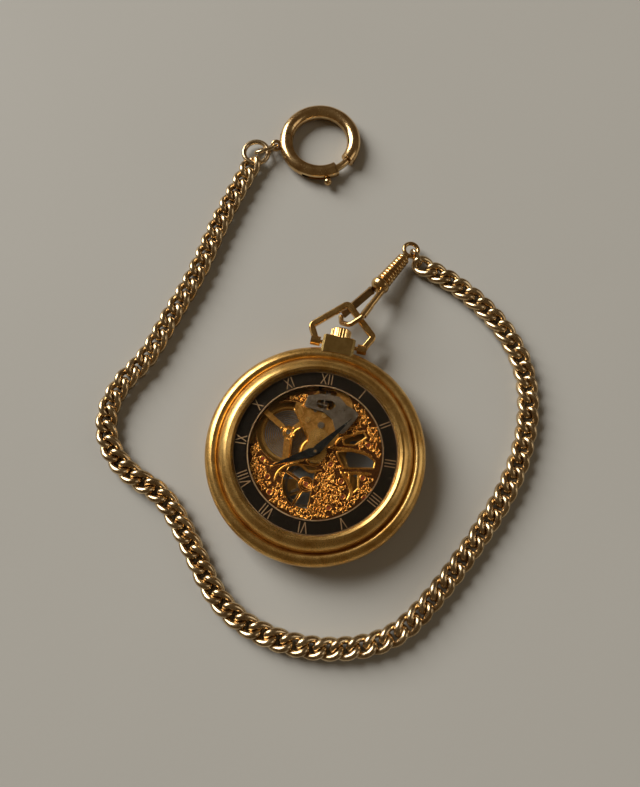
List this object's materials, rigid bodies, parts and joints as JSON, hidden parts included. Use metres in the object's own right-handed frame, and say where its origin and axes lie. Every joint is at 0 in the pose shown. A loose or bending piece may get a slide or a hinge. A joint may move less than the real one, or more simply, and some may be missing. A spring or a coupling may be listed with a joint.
{
  "type": "pocket_watch",
  "caption": "Open face skeleton pocket watch with a black roman chapter ring, side winding crown at twelve, swinging bow, swivel clip and a curb chain that ends in a bolt ring",
  "frame": {"origin": "Under the centre of the case, in the plane of the back rim that the watch lies on", "axes": "+Z out of the dial, +Y from the centre of the dial to the pendant and crown at twelve, +X to three o'clock"},
  "size_m": [0.0978, 0.1291, 0.0099],
  "materials": {
    "polished_gold": "polished, gold plated, fine wear",
    "satin_gold": "satin, gold plated",
    "movement_gold": "gilt, pierced and scroll engraved",
    "wheel_brass": "circular grained",
    "steel": "fine brushed",
    "spring_steel": "polished spring strip",
    "blued_steel": "heat blued",
    "ruby": "polished synthetic ruby",
    "dial_black": "satin black lacquer",
    "hand_black": "gloss black lacquer",
    "dial_print": "fine gold print",
    "crystal": "clear polished",
    "seal": "matt",
    "chain_gold": "antiqued, polished on the high spots",
    "gate_steel": "dark polished spring"
  },
  "bodies": {
    "case": {"mid_case": "polished_gold", "front_bezel": "polished_gold", "front_crystal": "crystal", "dial_flange": "satin_gold", "back_bezel": "polished_gold", "back_crystal": "crystal", "case_screws": "steel", "pendant": "polished_gold", "bow_pins": "polished_gold", "main_plate": "movement_gold", "barrel_bridge": "movement_gold", "train_bridge": "movement_gold", "balance_cock": "movement_gold", "pallet_bridge": "movement_gold", "jewels": "ruby", "bridge_screws": "blued_steel", "plate_screws": "blued_steel", "steel_screws": "steel", "keyless_cover": "steel", "crown_wheel_core": "wheel_brass", "click_spring": "steel", "chapter_ring": "dial_black", "dial_markings": "dial_print", "hairspring": "spring_steel"},
    "bow_body": {"bow": "polished_gold"},
    "clip": {"clip_body": "satin_gold", "clip_hook": "satin_gold", "clip_link": "chain_gold", "chain": "chain_gold", "round_link": "chain_gold", "jump_ring": "chain_gold", "bolt_ring": "chain_gold"},
    "clip_gate_body": {"clip_gate": "gate_steel"},
    "clip_swivel": {"clip_eye": "satin_gold"},
    "bolt_gate_body": {"bolt_ring_gate": "chain_gold"},
    "crown_slide": {"crown_gasket": "seal"},
    "crown_body": {"crown": "polished_gold", "winding_stem": "steel"},
    "winding_pinion_body": {"winding_pinion": "steel"},
    "crown_wheel_body": {"crown_wheel": "steel"},
    "ratchet_body": {"ratchet_wheel": "steel", "barrel_arbor": "steel"},
    "click_body": {"click": "steel"},
    "yoke_body": {"yoke": "steel"},
    "sliding_pinion_body": {"sliding_pinion": "steel"},
    "setting_lever_body": {"setting_lever": "steel"},
    "minute_body": {"minute_hand": "hand_black", "cannon_pinion": "steel"},
    "hour_body": {"hour_hand": "hand_black", "hour_wheel": "wheel_brass"},
    "minute_wheel_body": {"minute_wheel": "wheel_brass"},
    "setting_wheel_body": {"setting_wheel": "steel"},
    "barrel_body": {"barrel_drum": "wheel_brass", "mainspring": "spring_steel"},
    "centre_body": {"centre_wheel": "wheel_brass"},
    "third_body": {"third_wheel": "wheel_brass"},
    "fourth_body": {"fourth_wheel": "wheel_brass"},
    "escape_body": {"escape_wheel": "steel"},
    "pallet_body": {"pallet_fork": "steel"},
    "balance_body": {"balance_wheel": "wheel_brass"}
  },
  "joints": [
    {"name": "bow_swing", "type": "hinge", "parent": "case", "child": "bow_body", "pos_m": [0, 0.0252, 0.0045], "axis": [1, 0, 0], "range_deg": [0, 60]},
    {"name": "clip_hang", "type": "hinge", "parent": "bow_body", "child": "clip", "pos_m": [0.00224, 0.03346, 0.0045], "axis": [1, 0, 0], "range_deg": [-60, 0]},
    {"name": "clip_gate_open", "type": "hinge", "parent": "clip", "child": "clip_gate_body", "pos_m": [0.0047, 0.04039, 0.00278], "axis": [-0.5572, 0.3811, 0.7378], "range_deg": [0, 4], "stiffness_Nm_per_rad": 0.02, "springref_deg": -2.86},
    {"name": "clip_swivel_turn", "type": "hinge", "parent": "clip", "child": "clip_swivel", "pos_m": [0.00644, 0.04179, 0.00337], "axis": [0.4472, 0.8864, -0.12], "range_deg": [-6, 6]},
    {"name": "bolt_ring_gate_slide", "type": "hinge", "parent": "clip", "child": "bolt_gate_body", "pos_m": [-0.0153, 0.0769, 0.0017], "axis": [0, 0, -1], "range_deg": [0, 32], "stiffness_Nm_per_rad": 0.01, "springref_deg": -5.73},
    {"name": "crown_pull", "type": "slide", "parent": "case", "child": "crown_slide", "axis": [0, 1, 0], "range_m": [0, 0.0008]},
    {"name": "crown_turn", "type": "hinge", "parent": "crown_slide", "child": "crown_body", "pos_m": [0, 0.027, 0.0046], "axis": [0, 1, 0], "continuous": true},
    {"name": "winding_pinion_turn", "type": "hinge", "parent": "case", "child": "winding_pinion_body", "pos_m": [0, 0.0122, 0.0046], "axis": [0, 1, 0], "continuous": true},
    {"name": "crown_wheel_turn", "type": "hinge", "parent": "case", "child": "crown_wheel_body", "pos_m": [0, 0.00979, 0.002], "axis": [0, 0, 1], "continuous": true},
    {"name": "ratchet_turn", "type": "hinge", "parent": "case", "child": "ratchet_body", "pos_m": [-0.0066, 0.0031, 0.002], "axis": [0, 0, 1], "continuous": true},
    {"name": "click_lift", "type": "hinge", "parent": "case", "child": "click_body", "pos_m": [-0.01149, -0.00232, 0.002], "axis": [0, 0, 1], "range_deg": [-5, 5], "stiffness_Nm_per_rad": 0.000001},
    {"name": "yoke_slide", "type": "slide", "parent": "case", "child": "yoke_body", "axis": [0, -1, 0], "range_m": [0, 0.0006]},
    {"name": "sliding_pinion_turn", "type": "hinge", "parent": "yoke_body", "child": "sliding_pinion_body", "pos_m": [0, 0.0105, 0.0046], "axis": [0, 1, 0], "continuous": true},
    {"name": "setting_lever_turn", "type": "hinge", "parent": "case", "child": "setting_lever_body", "pos_m": [0.0035, 0.0101, 0.0065], "axis": [0, 0, 1], "range_deg": [-20, 20]},
    {"name": "minute_turn", "type": "hinge", "parent": "case", "child": "minute_body", "pos_m": [0, 0, 0.008], "axis": [0, 0, 1], "continuous": true},
    {"name": "hour_turn", "type": "hinge", "parent": "case", "child": "hour_body", "pos_m": [0, 0, 0.007], "axis": [0, 0, 1], "continuous": true},
    {"name": "minute_wheel_turn", "type": "hinge", "parent": "case", "child": "minute_wheel_body", "pos_m": [0, 0.003, 0.0066], "axis": [0, 0, 1], "continuous": true},
    {"name": "setting_wheel_turn", "type": "hinge", "parent": "case", "child": "setting_wheel_body", "pos_m": [0, 0.006, 0.0066], "axis": [0, 0, 1], "continuous": true},
    {"name": "fourth_turn", "type": "hinge", "parent": "case", "child": "fourth_body", "pos_m": [0.0067, -0.0049, 0.004], "axis": [0, 0, 1], "continuous": true},
    {"name": "third_turn", "type": "hinge", "parent": "case", "child": "third_body", "pos_m": [0.0037, -0.0019, 0.004], "axis": [0, 0, 1], "continuous": true},
    {"name": "centre_turn", "type": "hinge", "parent": "case", "child": "centre_body", "pos_m": [0, 0, 0.004], "axis": [0, 0, 1], "continuous": true},
    {"name": "barrel_turn", "type": "hinge", "parent": "case", "child": "barrel_body", "pos_m": [-0.0066, 0.0031, 0.004], "axis": [0, 0, 1], "continuous": true},
    {"name": "escape_turn", "type": "hinge", "parent": "case", "child": "escape_body", "pos_m": [0.0076, -0.008, 0.004], "axis": [0, 0, 1], "continuous": true},
    {"name": "pallet_rock", "type": "hinge", "parent": "case", "child": "pallet_body", "pos_m": [0.00535, -0.0076, 0.005], "axis": [0, 0, 1], "range_deg": [-5, 5]},
    {"name": "balance_swing", "type": "hinge", "parent": "case", "child": "balance_body", "pos_m": [-0.0005, -0.0071, 0.004], "axis": [0, 0, 1], "range_deg": [-135, 135], "stiffness_Nm_per_rad": 0.000001}
  ],
  "couplings": [
    {"joint": "clip_hang", "follows": "bow_swing", "ratio": -1},
    {"joint": "winding_pinion_turn", "follows": "crown_turn", "ratio": 1},
    {"joint": "sliding_pinion_turn", "follows": "crown_turn", "ratio": 1},
    {"joint": "crown_wheel_turn", "follows": "crown_turn", "ratio": 0.53846},
    {"joint": "ratchet_turn", "follows": "crown_turn", "ratio": -0.43491},
    {"joint": "yoke_slide", "follows": "crown_pull", "ratio": 0.75},
    {"joint": "setting_lever_turn", "follows": "crown_pull", "rad_per_m": -312},
    {"joint": "hour_turn", "follows": "minute_turn", "ratio": 0.083333},
    {"joint": "minute_wheel_turn", "follows": "minute_turn", "ratio": -0.33333},
    {"joint": "setting_wheel_turn", "follows": "minute_turn", "ratio": 1},
    {"joint": "third_turn", "follows": "fourth_turn", "ratio": -0.13333},
    {"joint": "centre_turn", "follows": "fourth_turn", "ratio": 0.016667},
    {"joint": "barrel_turn", "follows": "fourth_turn", "ratio": -0.0025641},
    {"joint": "escape_turn", "follows": "fourth_turn", "ratio": -10},
    {"joint": "pallet_rock", "follows": "balance_swing", "ratio": -0.037037}
  ]
}
